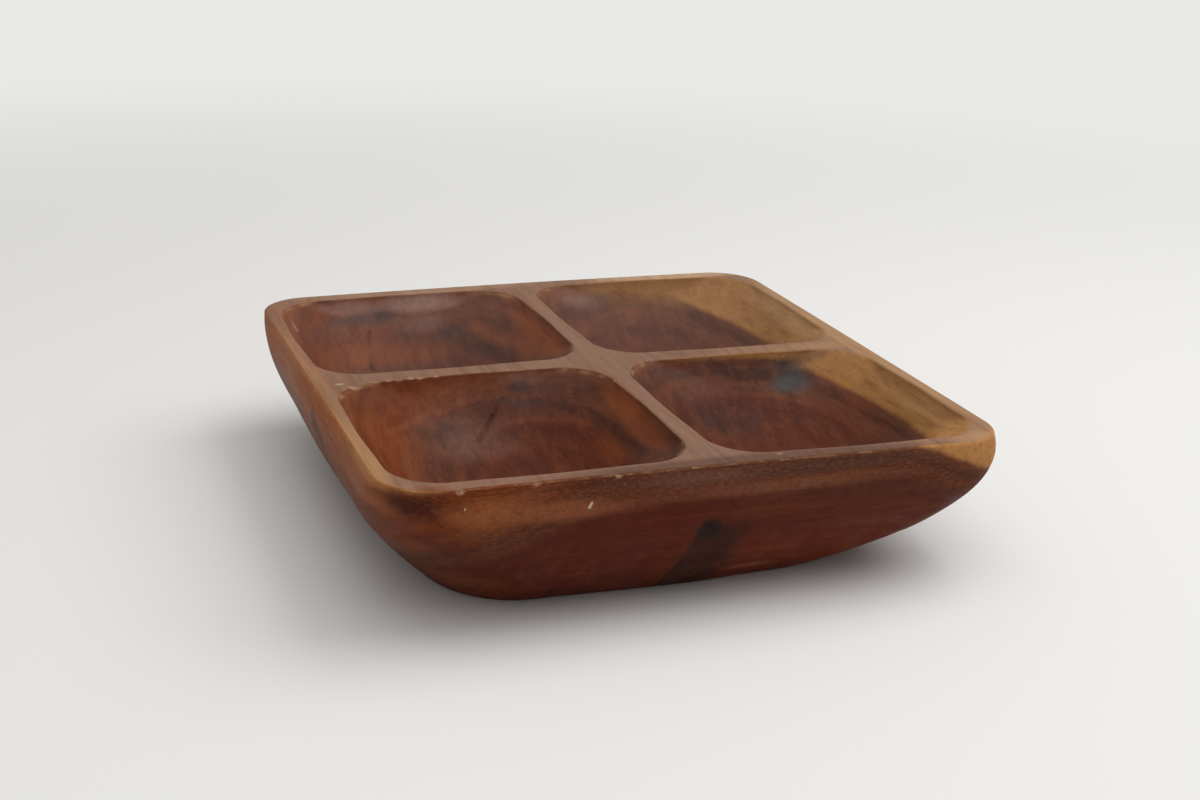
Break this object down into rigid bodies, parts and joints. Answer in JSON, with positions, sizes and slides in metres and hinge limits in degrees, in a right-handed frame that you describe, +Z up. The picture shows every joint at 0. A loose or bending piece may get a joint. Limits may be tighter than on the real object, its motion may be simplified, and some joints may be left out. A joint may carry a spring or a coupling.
{
  "type": "divided serving bowl",
  "caption": "Square carved wooden serving bowl with a rounded hull-shaped outside, a flat base and scooped compartments between crossed dividers.",
  "frame": {"origin": "on the surface that the bowl stands on, under the middle of its square rim", "axes": "+Z up, out of the compartments; +X to the right along the front side; +Y from the front side to the back, along the grain"},
  "size_m": [0.2574, 0.2574, 0.063],
  "materials": {
    "carved_wood": "satin oiled hardwood, with bare sanded rim tops"
  },
  "bodies": {
    "root": {"bowl_body": "carved_wood"}
  },
  "joints": []
}
